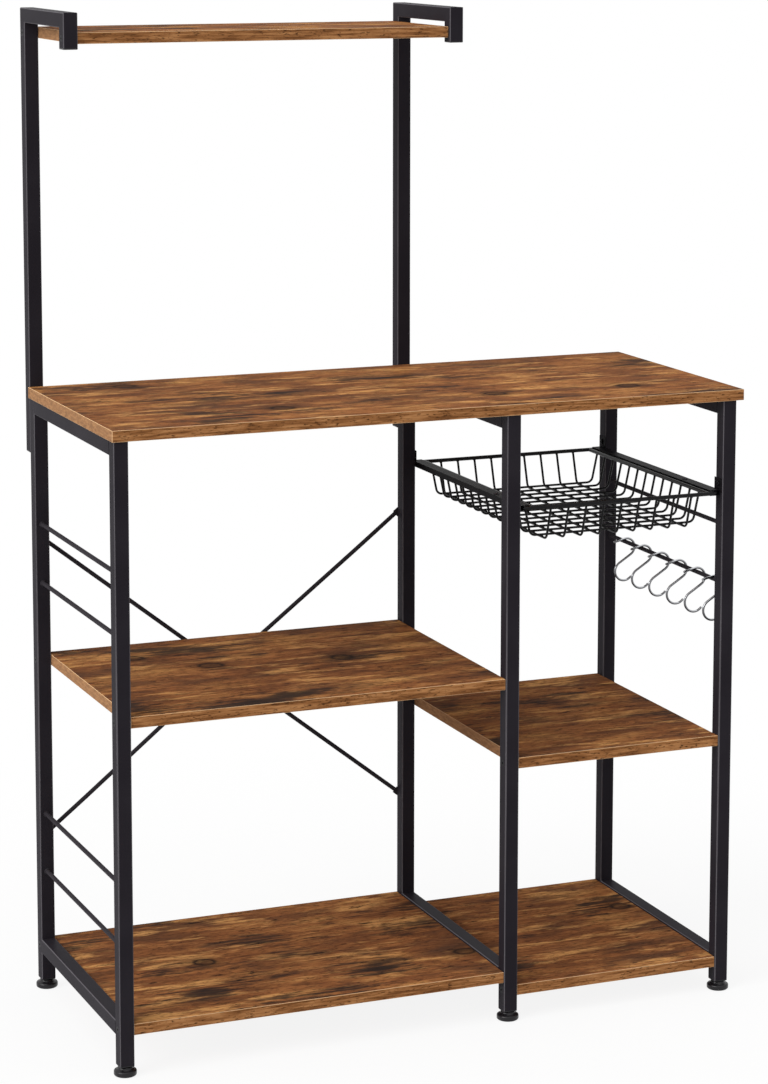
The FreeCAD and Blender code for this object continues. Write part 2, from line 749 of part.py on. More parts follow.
braceScrews = braceRod("brace_rod_falling", "Sizes.brace_high", "Sizes.brace_low", None)
braceScrews += braceRod("brace_rod_rising", "Sizes.brace_low", "Sizes.brace_high", "Sizes.brace_bow")
group("brace_screws", screw, braceScrews)


# ---- Basket -------------------------------------------------------------------------

basketX = "((Sizes.middle_x + Sizes.right_x) / 2)"
rimHalfWidth = "((Sizes.right_x - Sizes.middle_x - Sizes.tube) / 2 - Sizes.rim_gap)"
sideHalfWidth = "((Sizes.right_x - Sizes.middle_x - Sizes.tube) / 2 - Sizes.side_wire_gap)"
wallTop = "(Sizes.rim_z - Sizes.rim_dia / 2 - Sizes.weld_gap)"


def rimWire():
    body = newBody("Rim")
    spine = newSketch(body, "XY_Plane")
    wide, deep = rimHalfWidth, "Sizes.rim_half_depth"
    corners = [(f"-{wide}", f"-{deep}"), (wide, f"-{deep}"), (wide, deep), (f"-{wide}", deep)]
    drawBentLine(spine, corners, "Sizes.rim_bend", closed=True)
    addPipe(body, spine, "Sizes.rim_dia")
    place(body, basketX, "Sizes.basket_y", "Sizes.rim_z")
    return keep(body, "basket_rim_wire")


def bentWire(name, plane, halfTop, halfFloor, height):
    """A mesh wire: wall, floor and wall, with its floor on the body's origin."""
    body = newBody(name)
    spine = newSketch(body, plane)
    corners = [(f"-{halfTop}", height), (f"-{halfFloor}", "0"), (halfFloor, "0"), (halfTop, height)]
    drawBentLine(spine, corners, "Sizes.mesh_bend")
    addPipe(body, spine, "Sizes.mesh_dia")
    return body


rimWire()

sideWire = doc.addObject("Part::Cylinder", "SideWire")
sideWire.setExpression("Radius", "Sizes.rim_dia / 2")
sideWire.setExpression("Height", "2 * Sizes.rim_half_depth - Sizes.rim_dia")
sideStart = "Sizes.basket_y - Sizes.rim_half_depth + Sizes.rim_dia / 2"
sideSpots = [(f"{basketX} {sign} {sideHalfWidth}", sideStart, "Sizes.rim_z", front) for sign in "-+"]
group("basket_side_wires", sideWire, sideSpots)

crossLevel = "(Sizes.floor_low + Sizes.layer_step)"
sideFloor = f"({sideHalfWidth} - Sizes.floor_inset_side)"
endFloor = "(Sizes.rim_half_depth - Sizes.floor_inset_end)"
crossWire = bentWire("CrossWire", "XZ_Plane", sideHalfWidth, sideFloor, f"{wallTop} - {crossLevel}")
longHeight = f"{wallTop} - Sizes.floor_low"
longWire = bentWire("LongWire", "YZ_Plane", "Sizes.rim_half_depth", endFloor, longHeight)
crossSpots = [
    (basketX, f"Sizes.basket_y + {step} * Sizes.mesh_pitch", crossLevel, down)
    for step in range(-6, 7)
]
longSpots = [
    (f"{basketX} + {step} * Sizes.mesh_pitch", "Sizes.basket_y", "Sizes.floor_low", down)
    for step in range(-4, 5)
]
group("basket_cross_wires", crossWire, crossSpots)
group("basket_long_wires", longWire, longSpots)


# ---- Rails of the basket ------------------------------------------------------------


def basketRail(label, x, turn, screwWay):
    """A channel open towards the bay, with a screw tab at each end; its web is on X = 0."""
    body = newBody("Rail")
    sketch = newSketch(body, "XZ_Plane")
    sheetIn = "Sizes.rail_sheet"
    roof = "(Sizes.rail_height - Sizes.rail_sheet)"
    corners = [
        ("0", "0"),
        ("Sizes.rail_flange", "0"),
        ("Sizes.rail_flange", sheetIn),
        (sheetIn, sheetIn),
        (sheetIn, roof),
        ("Sizes.rail_flange", roof),
        ("Sizes.rail_flange", "Sizes.rail_height"),
        ("0", "Sizes.rail_height"),
    ]
    drawPolygon(sketch, corners)
    sketch.setExpression("AttachmentOffset.Base.z", "-Sizes.rail_half")
    addPad(body, sketch, "2 * Sizes.rail_half")
    tabIn = "(Sizes.rail_tab_out - Sizes.rail_tab_width)"
    for sign in ("", "-"):
        tab = newSketch(body, "YZ_Plane")
        ends = (f"{sign}{tabIn}", f"{sign}Sizes.rail_tab_out")
        tabLow, tabHigh = "Sizes.rail_height / 2", "Sizes.rail_tab_top"
        drawPolygon(tab, [(ends[0], tabLow), (ends[1], tabLow), (ends[1], tabHigh), (ends[0], tabHigh)])
        addPad(body, tab, "Sizes.rail_sheet")
    place(body, x, railY, "Sizes.rail_low", turn)
    tabFace = f"{x} + Sizes.rail_sheet" if screwWay == left else f"{x} - Sizes.rail_sheet"
    spots = [(tabFace, y, railScrewZ, screwWay) for y in rows.values()]
    cutFrom(label, body, copiesOf(screwHole, spots))
    return spots


railScrews = basketRail("left_basket_rail", middleFace, Rotation(), left)
railScrews += basketRail("right_basket_rail", rightFace, Rotation(Vector(0, 0, 1), 180), right)
group("rail_screws", screw, railScrews)


# ---- S-hooks ------------------------------------------------------------------------


def hookSpine(sketch):
    """Tail, upper bow, straight shank and lower bow, about the rod's axis at the origin."""
    highBend = value("Sizes.hook_high_bend")
    lowBend = value("Sizes.hook_low_bend")
    hang = value("(Sizes.rod_dia + Sizes.hook_wire) / 2 + Sizes.hook_play")
    highX = value("Sizes.hook_high_x")
    highCentre = Vector(highX, -math.sqrt((highBend - hang) ** 2 - highX**2), 0)
    lowCentre = Vector(value("Sizes.hook_low_x"), value("Sizes.hook_low_z"), 0)

    def heading(degrees):
        angle = math.radians(degrees)
        return Vector(math.cos(angle), math.sin(angle), 0)

    between = lowCentre - highCentre
    crossing = math.degrees(math.asin((highBend + lowBend) / between.Length))
    leave = math.degrees(math.atan2(between.y, between.x)) - crossing + 90
    tailEnd = 90 + value("Sizes.hook_tail_slope")
    touch = leave + 180
    tip = 360 - value("Sizes.hook_tip_slope")

    tailStart = highCentre + heading(tailEnd) * highBend
    tail = tailStart + heading(tailEnd + 90) * value("Sizes.hook_tail")
    highMiddle = highCentre + heading((tailEnd + leave) / 2) * highBend
    highEnd = highCentre + heading(leave) * highBend
    lowStart = lowCentre + heading(touch) * lowBend
    lowMiddle = lowCentre + heading((touch + tip) / 2) * lowBend
    lowEnd = lowCentre + heading(tip) * lowBend
    sketch.addGeometry(Part.LineSegment(tail, tailStart), False)
    highArc = sketch.addGeometry(Part.Arc(tailStart, highMiddle, highEnd), False)
    sketch.addGeometry(Part.LineSegment(highEnd, lowStart), False)
    lowArc = sketch.addGeometry(Part.Arc(lowStart, lowMiddle, lowEnd), False)
    highRadius = Sketcher.Constraint("Radius", highArc, highBend)
    lowRadius = Sketcher.Constraint("Radius", lowArc, lowBend)
    bindConstraint(sketch, highRadius, "Sizes.hook_high_bend")
    bindConstraint(sketch, lowRadius, "Sizes.hook_low_bend")
    sketch.addConstraint(Sketcher.Constraint("DistanceX", -1, 1, highArc, 3, highCentre.x))
    sketch.addConstraint(Sketcher.Constraint("DistanceY", -1, 1, highArc, 3, highCentre.y))
    pinPoint(sketch, lowArc, 3, "Sizes.hook_low_x", "Sizes.hook_low_z")


for number in range(6):
    hook = newBody("Hook")
    spine = newSketch(hook, "XZ_Plane")
    hookSpine(spine)
    addPipe(hook, spine, "Sizes.hook_wire")
    place(hook, "Sizes.right_x", f"Sizes.hook_first + {number} * Sizes.hook_pitch", "Sizes.hook_rod_z")
    keep(hook, f"s_hook_{number + 1}")


# ---- Levelling feet -----------------------------------------------------------------


def levellingFoot(label, x, y):
    """Pad and neck moulded on a stud; the pad's underside is on Z = 0."""
    body = newBody("Foot")
    neck = "Sizes.foot_neck_dia / 2"
    stud = "Sizes.stud_dia / 2"
    revolve(
        body,
        [
            ("0", "0"),
            ("Sizes.foot_dia / 2", "0"),
            ("Sizes.foot_dia / 2", "Sizes.foot_thick"),
            ("Sizes.foot_neck_dia / 2 + 2", "Sizes.foot_thick + 1.5"),
            (neck, "Sizes.foot_thick + 3"),
            (neck, "Sizes.foot_neck_top"),
            (stud, "Sizes.foot_neck_top"),
            (stud, "Sizes.stud_top - 1"),
            ("Sizes.stud_dia / 2 - 1", "Sizes.stud_top"),
            ("0", "Sizes.stud_top"),
        ],
    )
    rim = value("Sizes.foot_dia")

    def padEdge(edge):
        return abs(edge.BoundBox.XLength - rim) < 0.1 and edge.BoundBox.ZLength < 0.01

    addFillet(body, "Sizes.foot_round", padEdge)
    place(body, x, y, "0")
    return keep(body, label)


footPlug = tubePlug("FootPlug", "Sizes.cap_plug", "Sizes.stud_dia + 2 * Sizes.stud_play")
footSpots = []
for frame, x in frames.items():
    for row, y in rows.items():
        levellingFoot(f"{frame}_{row}_foot", x, y)
        footSpots.append((x, y, "Sizes.post_foot", down))
group("foot_plugs", footPlug, footSpots)


# ---- Check and write ----------------------------------------------------------------

doc.recompute()
for item in doc.Objects:
    if "Invalid" in item.State or "Error" in item.State:
        raise RuntimeError(f"{item.Name} ({item.Label}) failed: {item.State}")
os.makedirs("parts", exist_ok=True)
for piece in subParts:
    shape = Part.getShape(piece)
    if shape.isNull() or not shape.isValid():
        raise RuntimeError(f"{piece.Label} has no valid shape")
    shape.exportStep(os.path.join("parts", f"{piece.Label}.step"))
print(f"{len(subParts)} sub-parts written")
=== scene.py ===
import json
import math

import bmesh
import bpy
from mathutils import Matrix, Vector


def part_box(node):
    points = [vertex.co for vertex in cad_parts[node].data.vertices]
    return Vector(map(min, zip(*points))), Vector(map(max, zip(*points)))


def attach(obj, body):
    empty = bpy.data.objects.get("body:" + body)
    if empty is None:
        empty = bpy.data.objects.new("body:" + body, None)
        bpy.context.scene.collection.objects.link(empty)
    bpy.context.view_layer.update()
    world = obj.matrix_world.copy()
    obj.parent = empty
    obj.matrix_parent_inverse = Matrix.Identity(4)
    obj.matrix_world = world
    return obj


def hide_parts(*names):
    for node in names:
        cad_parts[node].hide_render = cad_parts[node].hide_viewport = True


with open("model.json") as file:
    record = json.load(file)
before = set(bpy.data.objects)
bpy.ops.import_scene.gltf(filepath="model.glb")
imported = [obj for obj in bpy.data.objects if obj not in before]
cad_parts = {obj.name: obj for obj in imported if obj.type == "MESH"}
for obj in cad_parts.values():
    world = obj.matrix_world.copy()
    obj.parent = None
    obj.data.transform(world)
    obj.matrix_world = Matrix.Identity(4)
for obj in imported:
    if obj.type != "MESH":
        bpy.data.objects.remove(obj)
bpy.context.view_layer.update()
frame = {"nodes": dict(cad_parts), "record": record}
print("frame loaded:", len(frame["nodes"]), "nodes")

mm = 0.001
scene = bpy.context.scene


def linear(hexColour):
    channels = [int(hexColour[i:i + 2], 16) / 255 for i in (1, 3, 5)]
    return [c / 12.92 if c <= 0.04045 else ((c + 0.055) / 1.055) ** 2.4 for c in channels] + [1]


def addNode(tree, kind, settings=None, links=None):
    # settings name a property, an input or, as "stops", the places and colours of a ramp
    node = tree.nodes.new(kind)
    for name, amount in (settings or {}).items():
        if name == "stops":
            elements = node.color_ramp.elements
            while len(elements) < len(amount):
                elements.new(0.5)
            for element, (place, colour) in zip(elements, amount):
                element.position = place
                element.color = linear(colour) if isinstance(colour, str) else [colour] * 3 + [1]
        elif isinstance(name, str) and hasattr(node, name):
            setattr(node, name, amount)
        else:
            node.inputs[name].default_value = amount
    for name, source in (links or {}).items():
        tree.links.new(source, node.inputs[name])
    return node


def newMaterial(name):
    material = bpy.data.materials.new(name)
    material.use_nodes = True
    tree = material.node_tree
    tree.nodes.clear()
    shader = addNode(tree, "ShaderNodeBsdfPrincipled")
    addNode(tree, "ShaderNodeOutputMaterial", links={0: shader.outputs[0]})
    return material, tree, shader


def facing(tree):
    # how squarely a face looks along X, Y and Z, and the largest of the three: under 1 on a bend
    normal = addNode(tree, "ShaderNodeNewGeometry").outputs["Normal"]
    sizes = addNode(tree, "ShaderNodeVectorMath", {"operation": "ABSOLUTE"}, {0: normal})
    parts = addNode(tree, "ShaderNodeSeparateXYZ", links={0: sizes.outputs[0]}).outputs
    larger = addNode(tree, "ShaderNodeMath", {"operation": "MAXIMUM"}, {0: parts[0], 1: parts[1]})
    largest = addNode(
        tree, "ShaderNodeMath", {"operation": "MAXIMUM"}, {0: larger.outputs[0], 1: parts[2]}
    )
    return normal, parts, largest.outputs[0]


# powder-coated mild steel tube, sprayed and baked: near-black satin with a violet cast, almost
# without gloss, a fine orange peel, and a pale line painted on the rounded bends as a highlight
tubeCoat = {
    "colour": "#242126",
    "fleck": "#29262b",
    "cloudMm": 70,
    "cloudPlaces": (0.35, 0.7),
    "bend": "#585559",
    "bendMask": [(0.86, 1.0), (0.96, 0.0)],
    "specular": 0.018,
    "roughness": 0.42,
    "roughLess": 0.05,
    "roughMore": 0.07,
    "peelMm": 1.1,
    "peelDepthMm": 0.02,
    "peelStrength": 0.35,
}
# the same coat on drawn rod, which has no sharp bends: duller, so the round shows as a soft line
rodCoat = {**tubeCoat, "bend": None, "colour": "#302d31", "fleck": "#363337", "specular": 0.006}
# the same coat on folded sheet: thick and deep black
sheetCoat = {**rodCoat, "colour": "#121013", "fleck": "#171518", "specular": 0.02}
# PVC-dipped basket wire: deeper black and glossier, with the long waves of a dipped film
dippedCoat = {
    **rodCoat,
    "colour": "#0b0a0c",
    "fleck": "#111012",
    "specular": 0.16,
    "roughness": 0.33,
    "peelMm": 2.5,
    "peelDepthMm": 0.05,
}
# injection-moulded polypropylene, spark-eroded tool: dull charcoal with a tiny even grain
mouldedPlastic = {
    **rodCoat,
    "colour": "#131114",
    "fleck": "#181619",
    "specular": 0.3,
    "roughness": 0.34,
    "peelMm": 0.6,
    "peelDepthMm": 0.03,
}
# black-oxide steel screws: oily blue-black that keeps a hard glint
blackOxide = {**sheetCoat, "colour": "#0d0d10", "specular": 0.04, "roughness": 0.3, "peelMm": 0.4}


def coated(name, look):
    material, tree, shader = newMaterial(name)
    coords = addNode(tree, "ShaderNodeTexCoord").outputs["Object"]
    peel = addNode(
        tree,
        "ShaderNodeTexNoise",
        {"Scale": 1 / (look["peelMm"] * mm), "Detail": 3.0},
        {"Vector": coords},
    ).outputs[0]
    cloud = addNode(
        tree,
        "ShaderNodeTexNoise",
        {"Scale": 1 / (look["cloudMm"] * mm), "Detail": 3.0},
        {"Vector": coords},
    ).outputs[0]
    stops = list(zip(look["cloudPlaces"], (look["colour"], look["fleck"])))
    colour = addNode(tree, "ShaderNodeValToRGB", {"stops": stops}, {0: cloud}).outputs[0]
    # painted highlight: a pale colour laid on the rounded bends, where no face looks squarely along
    # an axis
    if look["bend"]:
        largest = facing(tree)[2]
        bendShine = addNode(tree, "ShaderNodeValToRGB", {"stops": look["bendMask"]}, {0: largest})
        colour = addNode(
            tree,
            "ShaderNodeMix",
            {"data_type": "RGBA", 7: linear(look["bend"])},
            {0: bendShine.outputs[0], 6: colour},
        ).outputs[2]
    tree.links.new(colour, shader.inputs["Base Color"])
    low, high = look["roughness"] - look["roughLess"], look["roughness"] + look["roughMore"]
    rough = addNode(tree, "ShaderNodeMapRange", {"To Min": low, "To Max": high}, {"Value": peel})
    tree.links.new(rough.outputs[0], shader.inputs["Roughness"])
    bump = addNode(
        tree,
        "ShaderNodeBump",
        {"Strength": look["peelStrength"], "Distance": look["peelDepthMm"] * mm},
        {"Height": peel},
    )
    tree.links.new(bump.outputs[0], shader.inputs["Normal"])
    shader.inputs["Specular IOR Level"].default_value = look["specular"]
    return material


# melamine-faced particle board with a printed decor paper: worn brown timber, matt, with smoky
# stains, honey streaks, knots and drying cracks; the edge bands have it too, finer and plainer
rusticBoard = {
    "wanderMm": 85,
    "wanderReachMm": (16, 7, 0),
    "figureRoughness": 0.62,
    "placeSpread": (1, 0.7, 1.3),
    "groundMm": (120, 38, 60),
    "groundPlace": 0.4,
    "streakMm": (90, 5, 30),
    "streakPlace": 3.1,
    "timber": [(0.34, "#71482f"), (0.45, "#8f5a37"), (0.54, "#a56c41"), (0.66, "#be8650")],
    # each layer: size of its figure in mm, share of the streaks in it, mask, colour
    "layers": [
        ((120, 50, 60), 0.25, [(0.49, 0.0), (0.62, 0.65)], "#523c30"),  # broad worn clouds
        ((60, 5, 30), 0.0, [(0.50, 0.0), (0.66, 0.5)], "#563622"),  # darker grain
        ((22, 1.8, 20), 0.0, [(0.50, 0.0), (0.64, 0.6)], "#4b3020"),  # fibres
        ((120, 26, 40), 0.25, [(0.53, 0.0), (0.61, 0.78)], "#dca263"),  # honey streaks
        ((190, 72, 80), 0.3, [(0.54, 0.0), (0.582, 0.75), (0.64, 0.92)], "#2a2625"),  # smoky stains
        ((28, 8, 50), 0.2, [(0.60, 0.0), (0.64, 0.92)], "#241c18"),  # burnt spots
        ((12, 3.5, 20), 0.0, [(0.53, 0.0), (0.64, 0.62)], "#3d2a1f"),  # pores
    ],
    "layerPlace": 7.7,
    "layerStep": 4.3,
    "crack": "#2f211a",
    "crackMm": (75, 7, 30),
    "crackPlace": 51.0,
    "crackLine": [(0.484, 0.0), (0.5, 0.95), (0.516, 0.0)],
    "crackAreaMm": (70, 30, 60),
    "crackAreaPlace": 63.0,
    "crackArea": [(0.51, 0.0), (0.58, 1.0)],
    "knot": "#2c211b",
    "knotCellMm": (290, 230, 60),
    "knotTilt": (0.3, 0.3, 0),
    "knotShare": 0.7,
    "knotWobble": 0.05,
    "knotTurns": 105,
    "knotRings": [(0.2, 0.75), (0.9, 1.0)],
    "knotFade": [(0.0, 0.9), (0.045, 0.85), (0.07, 1.0), (0.085, 0.7), (0.1, 0.4), (0.15, 0.0)],
    "band": [(0.38, "#70482a"), (0.50, "#93633c"), (0.62, "#ad7b4f")],
    "bandMm": (45, 14, 3),
    "bandPlace": 9.0,
    "pore": "#432a1a",
    "poreMm": (8, 2.0, 2.0),
    "porePlace": 30.0,
    "poreMask": [(0.57, 0.0), (0.65, 0.9)],
    # painted light: the end faces, which look along X, are made paler to stand for the side lamp
    "paintedEndLight": "#9c7b5e",
    "endLightMask": [(0.5, 0.0), (0.8, 0.5)],
    "topMask": [(0.4, 0.0), (0.8, 1.0)],
    # painted light on the arrises: pale where they face the camera and the side light, dark
    # elsewhere
    "litSide": (-0.7, -0.7, 0),
    "arrisLightAndShade": [(0.45, "#3a281c"), (0.6, "#e2bb90")],
    "arrisLightMask": [(0.9, 0.85), (0.985, 0.0)],
    "specular": 0.004,
    "roughness": (0.5, 0.66),
    "reliefMm": 0.1,
    "reliefStrength": 0.2,
}


def laminated(name, look):
    material, tree, shader = newMaterial(name)
    coords = addNode(tree, "ShaderNodeTexCoord").outputs["Object"]
    wander = addNode(
        tree,
        "ShaderNodeTexNoise",
        {"Scale": 1 / (look["wanderMm"] * mm), "Detail": 3.0},
        {"Vector": coords},
    )
    bent = addNode(
        tree,
        "ShaderNodeVectorMath",
        {"operation": "MULTIPLY_ADD", 1: [reachMm * mm for reachMm in look["wanderReachMm"]]},
        {0: wander.outputs["Color"], 2: coords},
    ).outputs[0]

    # a noise stretched to a size in mm; its place moves it, so that no two figures match
    def figure(sizeMm, place, detail=5.0):
        stretched = addNode(
            tree,
            "ShaderNodeMapping",
            {
                "Scale": [1 / (size * mm) for size in sizeMm],
                "Location": [place * spread for spread in look["placeSpread"]],
            },
            {"Vector": bent},
        )
        return addNode(
            tree,
            "ShaderNodeTexNoise",
            {"Scale": 1.0, "Detail": detail, "Roughness": look["figureRoughness"]},
            {"Vector": stretched.outputs[0]},
        ).outputs[0]

    # a colour laid over what is there, as far as a mask lets it
    def laid(under, colour, mask):
        return addNode(
            tree,
            "ShaderNodeMix",
            {"data_type": "RGBA", 7: linear(colour)},
            {0: mask, 6: under},
        ).outputs[2]

    streaks = figure(look["streakMm"], look["streakPlace"])
    ground = figure(look["groundMm"], look["groundPlace"], detail=6.0)
    surface = addNode(
        tree, "ShaderNodeValToRGB", {"stops": look["timber"]}, {0: ground}
    ).outputs[0]
    for number, (sizeMm, ragged, stops, colour) in enumerate(look["layers"]):
        tone = figure(sizeMm, look["layerPlace"] + look["layerStep"] * number)
        if ragged:
            tone = addNode(
                tree, "ShaderNodeMix", {"data_type": "FLOAT", 0: ragged}, {2: tone, 3: streaks}
            ).outputs[0]
        mask = addNode(tree, "ShaderNodeValToRGB", {"stops": stops}, {0: tone}).outputs[0]
        surface = laid(surface, colour, mask)

    # a crack follows the line where a long noise passes its middle, only in some areas
    line = figure(look["crackMm"], look["crackPlace"], detail=3.0)
    crack = addNode(tree, "ShaderNodeValToRGB", {"stops": look["crackLine"]}, {0: line})
    area = figure(look["crackAreaMm"], look["crackAreaPlace"])
    some = addNode(tree, "ShaderNodeValToRGB", {"stops": look["crackArea"]}, {0: area})
    crackMask = addNode(
        tree,
        "ShaderNodeMath",
        {"operation": "MULTIPLY"},
        {0: crack.outputs[0], 1: some.outputs[0]},
    )
    surface = laid(surface, look["crack"], crackMask.outputs[0])

    # knots: a brown heart in a dark uneven ring, in some cells; the tilt gives each board its own
    cell = addNode(
        tree,
        "ShaderNodeMapping",
        {
            "Scale": [1 / (size * mm) for size in look["knotCellMm"]],
            "Rotation": look["knotTilt"],
        },
        {"Vector": bent},
    )
    hearts = addNode(
        tree,
        "ShaderNodeTexVoronoi",
        {"voronoi_dimensions": "2D", "Scale": 1.0},
        {"Vector": cell.outputs[0]},
    ).outputs
    uneven = addNode(
        tree,
        "ShaderNodeMath",
        {"operation": "MULTIPLY_ADD", 1: look["knotWobble"]},
        {0: streaks, 2: hearts["Distance"]},
    ).outputs[0]
    turns = addNode(
        tree, "ShaderNodeMath", {"operation": "MULTIPLY", 1: look["knotTurns"]}, {0: uneven}
    )
    rings = addNode(tree, "ShaderNodeMath", {"operation": "SINE"}, {0: turns.outputs[0]})
    ringTone = addNode(
        tree, "ShaderNodeValToRGB", {"stops": look["knotRings"]}, {0: rings.outputs[0]}
    )
    fade = addNode(tree, "ShaderNodeValToRGB", {"stops": look["knotFade"]}, {0: uneven})
    drawn = addNode(tree, "ShaderNodeSeparateColor", links={0: hearts["Color"]})
    present = addNode(
        tree,
        "ShaderNodeMath",
        {"operation": "LESS_THAN", 1: look["knotShare"]},
        {0: drawn.outputs[0]},
    )
    knotMask = ringTone
    for other in (fade, present):
        knotMask = addNode(
            tree,
            "ShaderNodeMath",
            {"operation": "MULTIPLY"},
            {0: knotMask.outputs[0], 1: other.outputs[0]},
        )
    surface = laid(surface, look["knot"], knotMask.outputs[0])

    # edge bands: a finer run of the paper, speckled with short dark pores; the end faces are
    # painted paler as painted light for the side lamp on the left ends
    normal, parts, largest = facing(tree)
    grain = figure(look["bandMm"], look["bandPlace"])
    band = addNode(tree, "ShaderNodeValToRGB", {"stops": look["band"]}, {0: grain}).outputs[0]
    specks = figure(look["poreMm"], look["porePlace"], detail=3.0)
    pores = addNode(tree, "ShaderNodeValToRGB", {"stops": look["poreMask"]}, {0: specks})
    band = laid(band, look["pore"], pores.outputs[0])
    # painted light: faces that look along X get the paler end colour
    endLit = addNode(tree, "ShaderNodeValToRGB", {"stops": look["endLightMask"]}, {0: parts[0]})
    band = laid(band, look["paintedEndLight"], endLit.outputs[0])
    upward = addNode(tree, "ShaderNodeValToRGB", {"stops": look["topMask"]}, {0: parts[2]})
    surface = addNode(
        tree,
        "ShaderNodeMix",
        {"data_type": "RGBA"},
        {0: upward.outputs[0], 6: band, 7: surface},
    ).outputs[2]

    # arrises: a painted highlight on the sides towards the camera and the side light, painted shade
    # on the other sides
    side = addNode(
        tree, "ShaderNodeVectorMath", {"operation": "DOT_PRODUCT", 1: look["litSide"]}, {0: normal}
    ).outputs["Value"]
    # a ramp starts at 0, so the share that faces the lit side is moved up by a half
    moved = addNode(tree, "ShaderNodeMath", {"operation": "ADD", 1: 0.5}, {0: side})
    arrisLightAndShade = addNode(
        tree, "ShaderNodeValToRGB", {"stops": look["arrisLightAndShade"]}, {0: moved.outputs[0]}
    ).outputs[0]
    onArris = addNode(tree, "ShaderNodeValToRGB", {"stops": look["arrisLightMask"]}, {0: largest})
    surface = addNode(
        tree,
        "ShaderNodeMix",
        {"data_type": "RGBA"},
        {0: onArris.outputs[0], 6: surface, 7: arrisLightAndShade},
    ).outputs[2]
    tree.links.new(surface, shader.inputs["Base Color"])

    low, high = look["roughness"]
    rough = addNode(
        tree, "ShaderNodeMapRange", {"To Min": low, "To Max": high}, {"Value": ground}
    )
    tree.links.new(rough.outputs[0], shader.inputs["Roughness"])
    bump = addNode(
        tree,
        "ShaderNodeBump",
        {"Strength": look["reliefStrength"], "Distance": look["reliefMm"] * mm},
        {"Height": streaks},
    )
    tree.links.new(bump.outputs[0], shader.inputs["Normal"])
    shader.inputs["Specular IOR Level"].default_value = look["specular"]
    return material


# nickel-chrome plated drawn wire: grey mirror with faint lengthwise draw marks; upward faces are
# painted pale as a painted reflection of the white room, downward faces dark as painted shade
hookPlate = {
    "lower": "#3c3c3e",
    "upper": "#b9babd",
    "reflectionPlaces": (0.3, 0.85),
    "roughness": 0.16,
    "roughLeast": 0.7,
    "roughMost": 1.4,
    "drawMm": 0.5,
    "drawStretch": 6,
}
# zinc-plated steel inserts: pale and slightly milky, seen only down the bores
zincPlate = {
    **hookPlate,
    # painted shade on downward faces and painted reflection on upward faces, as on the hook wire
    "lower": "#a9a8a4",
    "upper": "#c4c3c0",
    "roughness": 0.35,
    "drawMm": 0.6,
}


def plated(name, look):
    material, tree, shader = newMaterial(name)
    coords = addNode(tree, "ShaderNodeTexCoord").outputs["Object"]
    drawn = [look["drawMm"] * times * mm for times in (1, 1, look["drawStretch"])]
    place = addNode(
        tree, "ShaderNodeMapping", {"Scale": [1 / size for size in drawn]}, {"Vector": coords}
    )
    marks = addNode(
        tree, "ShaderNodeTexNoise", {"Scale": 1.0, "Detail": 3.0}, {"Vector": place.outputs[0]}
    ).outputs[0]
    # painted reflection and shade: the colour runs from dark on downward faces to pale on upward
    # faces
    normal = addNode(tree, "ShaderNodeNewGeometry").outputs["Normal"]
    upward = addNode(tree, "ShaderNodeSeparateXYZ", links={0: normal}).outputs[2]
    height = addNode(
        tree, "ShaderNodeMath", {"operation": "MULTIPLY_ADD", 1: 0.5, 2: 0.5}, {0: upward}
    ).outputs[0]
    stops = list(zip(look["reflectionPlaces"], (look["lower"], look["upper"])))
    paintedReflection = addNode(tree, "ShaderNodeValToRGB", {"stops": stops}, {0: height})
    tree.links.new(paintedReflection.outputs[0], shader.inputs["Base Color"])
    low, high = look["roughness"] * look["roughLeast"], look["roughness"] * look["roughMost"]
    rough = addNode(tree, "ShaderNodeMapRange", {"To Min": low, "To Max": high}, {"Value": marks})
    tree.links.new(rough.outputs[0], shader.inputs["Roughness"])
    shader.inputs["Metallic"].default_value = 1.0
    return material


coatedTube = coated("PowderCoatedTube", tubeCoat)
coatedRod = coated("PowderCoatedRod", rodCoat)
coatedSheet = coated("PowderCoatedSheet", sheetCoat)
slotMaterials = {
    "powder_coated_steel": coatedTube,
    "rustic_board": laminated("RusticMelamineBoard", rusticBoard),
    "coated_wire": coated("DippedWire", dippedCoat),
    "hook_chrome": plated("PlatedHookWire", hookPlate),
    "black_plastic": coated("MouldedPolypropylene", mouldedPlastic),
    "fastener_steel": plated("ZincPlatedSteel", zincPlate),
    "black_fasteners": coated("BlackOxideSteel", blackOxide),
}
nodeSlots = {part["node"]: part["material_slot"] for part in frame["record"]["subparts"]}
for name, node in frame["nodes"].items():
    finish = slotMaterials[nodeSlots[name]]
    if "rod" in name:
        finish = coatedRod
    elif "basket_rail" in name:
        finish = coatedSheet
    node.data.materials.clear()
    node.data.materials.append(finish)
print("materials:", len(bpy.data.materials))


def seat(piece, body, replaced=()):
    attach(piece, body)
    if replaced:
        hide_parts(*replaced)


# a CAD node is loose facets, so a merged copy with soft normals stands for each turned or bent one
softening = {"mergeMm": 0.002, "sharpDegrees": 32}


def soften(name, body):
    node = frame["nodes"][name]
    mesh = node.data.copy()
    shape = bmesh.new()
    shape.from_mesh(mesh)
    bmesh.ops.remove_doubles(shape, verts=shape.verts, dist=softening["mergeMm"] * mm)
    shape.to_mesh(mesh)
    shape.free()
    mesh.name = name + "_soft"
    for face in mesh.polygons:
        face.use_smooth = True
    mesh.set_sharp_from_angle(angle=math.radians(softening["sharpDegrees"]))
    piece = bpy.data.objects.new(name + "_soft", mesh)
    scene.collection.objects.link(piece)
    weigh = piece.modifiers.new("FlatFaces", "WEIGHTED_NORMAL")
    weigh.keep_sharp = True
    graph = bpy.context.evaluated_depsgraph_get()
    made = bpy.data.meshes.new_from_object(piece.evaluated_get(graph), depsgraph=graph)
    piece.modifiers.remove(weigh)
    piece.data = made
    seat(piece, body, [name])


